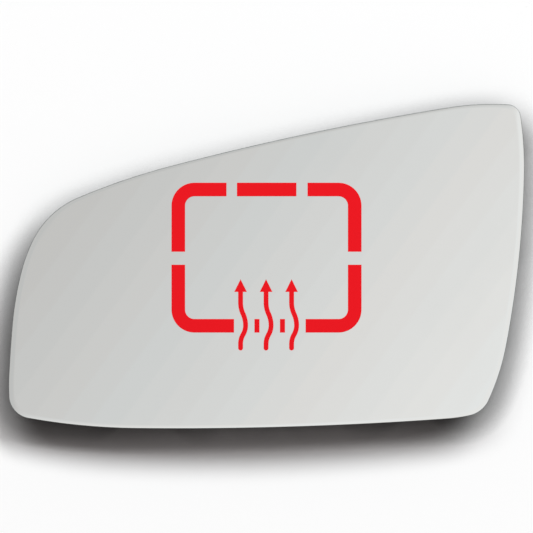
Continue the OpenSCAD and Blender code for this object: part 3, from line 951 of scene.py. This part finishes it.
def white_floor_painted_shade():
    """Matt white, with painted shade: beside the object its colour darkens with the share of the
    sky that is open close by, to a power, as deep soft contact shade. The share is taken round
    a direction that leans to OPEN_SIDE, the side that gets little of this painted shade."""
    material, tree, shader, _ = new_material(
        "white_floor_painted_shade", specular_ior_level=0.0, roughness=1.0)
    shade = node(tree, "ShaderNodeAmbientOcclusion", {"samples": 24}, {"Distance": PAINTED_SHADE_REACH})
    lean = node(tree, "ShaderNodeVectorMath", {"operation": "NORMALIZE"}, {0: OPEN_SIDE})
    tree.links.new(lean.outputs["Vector"], shade.inputs["Normal"])
    open_sky = math_node(tree, "POWER", shade.outputs["AO"], PAINTED_SHADE_POWER)
    white = (FLOOR_WHITE, FLOOR_WHITE, FLOOR_WHITE)
    # Painted shade: the floor's base colour runs from black to white as the open sky close by
    # grows.
    ramp(tree, open_sky, (0.0, 0.0, 0.0), white, shader["Base Color"])
    return material


FLOOR_HALF = 4.0
floor_mesh = bpy.data.meshes.new("floor")
corners = [(-1, -1), (1, -1), (1, 1), (-1, 1)]
floor_mesh.from_pydata([(x * FLOOR_HALF, y * FLOOR_HALF, 0.0) for x, y in corners], [], [range(4)])
floor_mesh.materials.append(white_floor_painted_shade())
floor = bpy.data.objects.new("floor", floor_mesh)
bpy.context.scene.collection.objects.link(floor)
print("floor:", 2 * FLOOR_HALF, "m wide")

# %% Two soft lamps side by side
LAMP_DISTANCE = 12.0
LAMP_COLOUR = (0.975, 0.997, 1.0)
RIGHT_LAMP = {"tilt_deg": 43.1, "side_deg": 28.0, "width": 11.0, "height": 2.6, "power": 1419.0}
LEFT_LAMP = {"tilt_deg": 44.2, "side_deg": -14.0, "width": 9.6, "height": 3.1, "power": 507.0}


def soft_lamp(name, tilt_deg, side_deg, width, height, power):
    """Elliptical area lamp that faces the glass. Its place is given by two turns from
    straight above: x goes with the sine of the turn to the side, and y and z share its
    cosine by the sine and cosine of the tilt."""
    tilt, side = math.radians(tilt_deg), math.radians(side_deg)
    data = bpy.data.lights.new(name, "AREA")
    data.shape = "ELLIPSE"
    data.size = width
    data.size_y = height
    data.energy = power
    data.color = LAMP_COLOUR
    lamp = bpy.data.objects.new(name, data)
    way = (math.sin(side), math.sin(tilt) * math.cos(side), math.cos(tilt) * math.cos(side))
    lamp.location = LAMP_DISTANCE * np.array(way)
    lamp.rotation_euler = lamp.location.to_track_quat("Z", "Y").to_euler()
    lamp.visible_glossy = False
    lamp.visible_camera = False
    bpy.context.scene.collection.objects.link(lamp)
    print(name + ":", power, "watts from", [round(v, 2) for v in lamp.location])


soft_lamp("right_lamp", **RIGHT_LAMP)
soft_lamp("left_lamp", **LEFT_LAMP)

# %% [markdown]
# What the mirror sees
#
# A mirror has no look of its own: it shows its surroundings. Here they are a pale studio sky
# that brightens from one side to the other in slanting steps, as a row of light panels does,
# each a little greener or warmer than the next. The pattern depends only on the direction of
# a reflected ray, so it holds from every side. The camera itself sees plain white.

# %% Studio sky
BAND_DIRECTION = (0.809, -0.588, 0.0)
BAND_FROM = -0.0427
BAND_WIDTH = 0.0209
DARKEST_BAND, LIGHTEST_BAND = -8, 12
SKY_DARK, SKY_LIGHT = 0.646, 0.975
COOL, WARM = (0.979, 1.0, 0.989), (1.0, 0.995, 0.972)
SHORT_WAVE = {"period": 4, "crest": 0, "height": 0.5}
LONG_WAVE = {"period": 12, "crest": 1, "height": 0.6}
AMBIENT = (0.2226, 0.2048, 0.2027)
WHITE = (1.0, 1.0, 1.0)


def wave(tree, band, period, crest, height):
    """Cosine over the bands: height times the cosine of the turns since the crest band."""
    turns = math_node(tree, "MULTIPLY", math_node(tree, "SUBTRACT", band, crest), math.tau / period)
    return math_node(tree, "MULTIPLY", math_node(tree, "COSINE", turns), height)


def band_colour(tree):
    """Colour of the sky in a direction. The band's number is the direction's share of the
    band direction, less BAND_FROM, over BAND_WIDTH, rounded down. Its level rises evenly
    with that number, and two waves over the numbers mix its tint."""
    way = tree.nodes.new("ShaderNodeTexCoord").outputs["Generated"]
    along = node(tree, "ShaderNodeVectorMath", {"operation": "DOT_PRODUCT"}, {1: BAND_DIRECTION})
    tree.links.new(way, along.inputs[0])
    past = math_node(tree, "SUBTRACT", along.outputs["Value"], BAND_FROM)
    band = math_node(tree, "FLOOR", math_node(tree, "DIVIDE", past, BAND_WIDTH))
    limits = {"From Min": DARKEST_BAND, "From Max": LIGHTEST_BAND,
              "To Min": SKY_DARK, "To Max": SKY_LIGHT}
    level = node(tree, "ShaderNodeMapRange", (), limits)
    tree.links.new(band, level.inputs["Value"])
    mood = math_node(tree, "ADD", wave(tree, band, **SHORT_WAVE), wave(tree, band, **LONG_WAVE))
    share = node(tree, "ShaderNodeMapRange", (), {"From Min": 1.0, "From Max": -1.0})
    tree.links.new(mood, share.inputs["Value"])
    tint = mix_colours(tree, share.outputs["Result"], COOL, WARM)
    colour = node(tree, "ShaderNodeVectorMath", {"operation": "SCALE"})
    tree.links.new(tint, colour.inputs["Vector"])
    tree.links.new(level.outputs["Result"], colour.inputs["Scale"])
    return colour.outputs["Vector"]


def studio_sky():
    """World: white to the camera, the banded sky to glossy rays, and dim warm grey to the
    rest."""
    world = bpy.data.worlds.new("studio")
    world.use_nodes = True
    tree = world.node_tree
    rays = tree.nodes.new("ShaderNodeLightPath").outputs
    seen = math_node(tree, "MAXIMUM", rays["Is Glossy Ray"], rays["Is Transmission Ray"])
    lit = mix_colours(tree, seen, AMBIENT, band_colour(tree))
    shown = mix_colours(tree, rays["Is Camera Ray"], lit, WHITE)
    tree.links.new(shown, tree.nodes["Background"].inputs["Color"])
    return world


bpy.context.scene.world = studio_sky()
print("the sky brightens over", LIGHTEST_BAND - DARKEST_BAND, "bands")
bpy.context.scene.view_settings.view_transform = "Standard"
